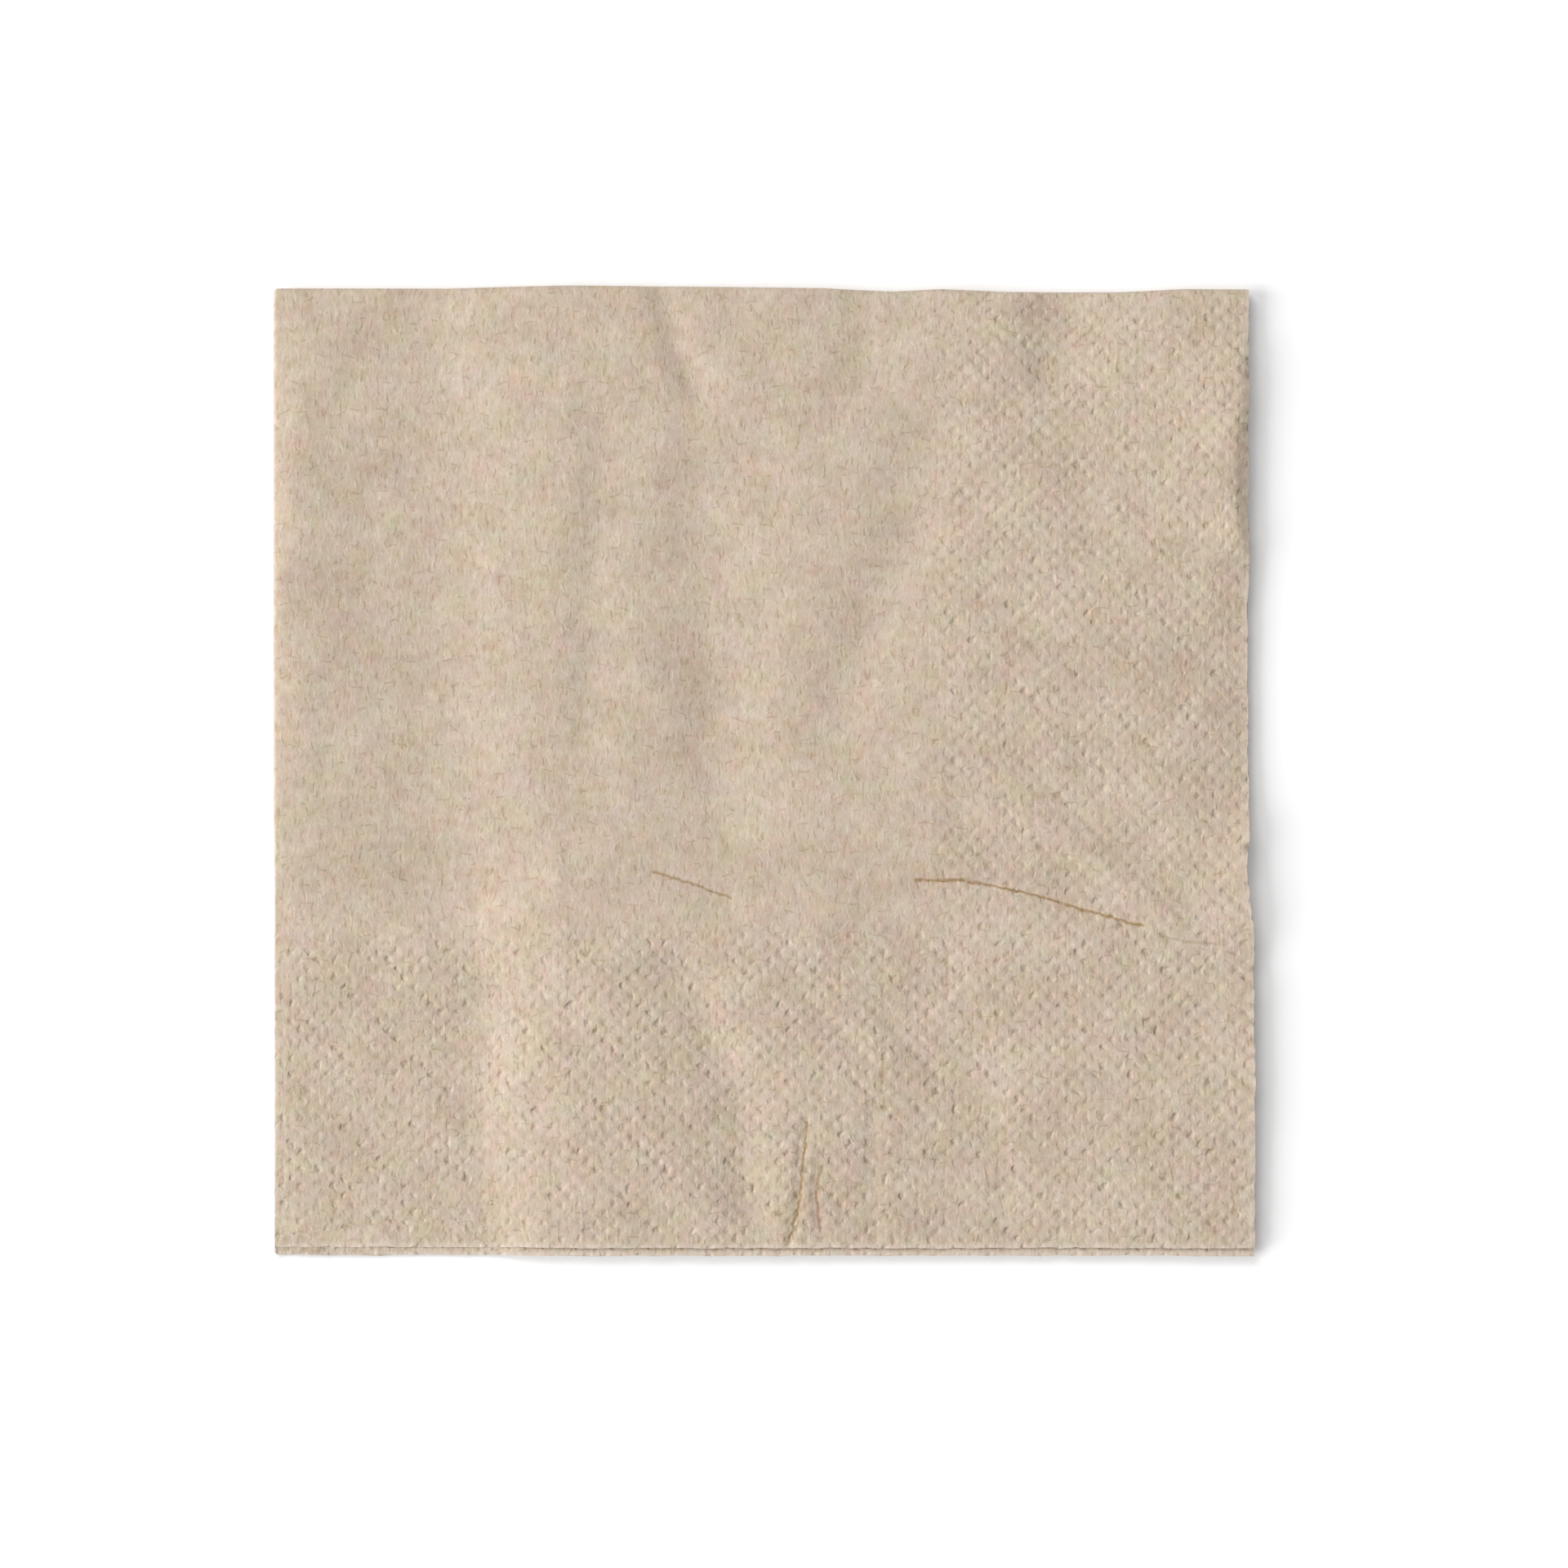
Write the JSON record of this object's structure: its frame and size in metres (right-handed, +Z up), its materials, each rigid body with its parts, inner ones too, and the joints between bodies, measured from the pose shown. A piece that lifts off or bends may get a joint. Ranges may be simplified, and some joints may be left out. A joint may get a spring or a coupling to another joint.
{
  "type": "paper napkin",
  "caption": "Square tissue napkin folded in quarters and lying flat, with an embossed dot band along its cut edges.",
  "frame": {"origin": "middle of the underside of the folded napkin, on the surface it lies on", "axes": "+Z up, through the stacked leaves; +X from the first fold to the cut edge beside it; +Y from the other cut edge to the second fold"},
  "size_m": [0.1206, 0.1196, 0.0021],
  "materials": {
    "paper": "matte unbleached tissue"
  },
  "bodies": {
    "root": {"napkin": "paper"}
  },
  "joints": []
}
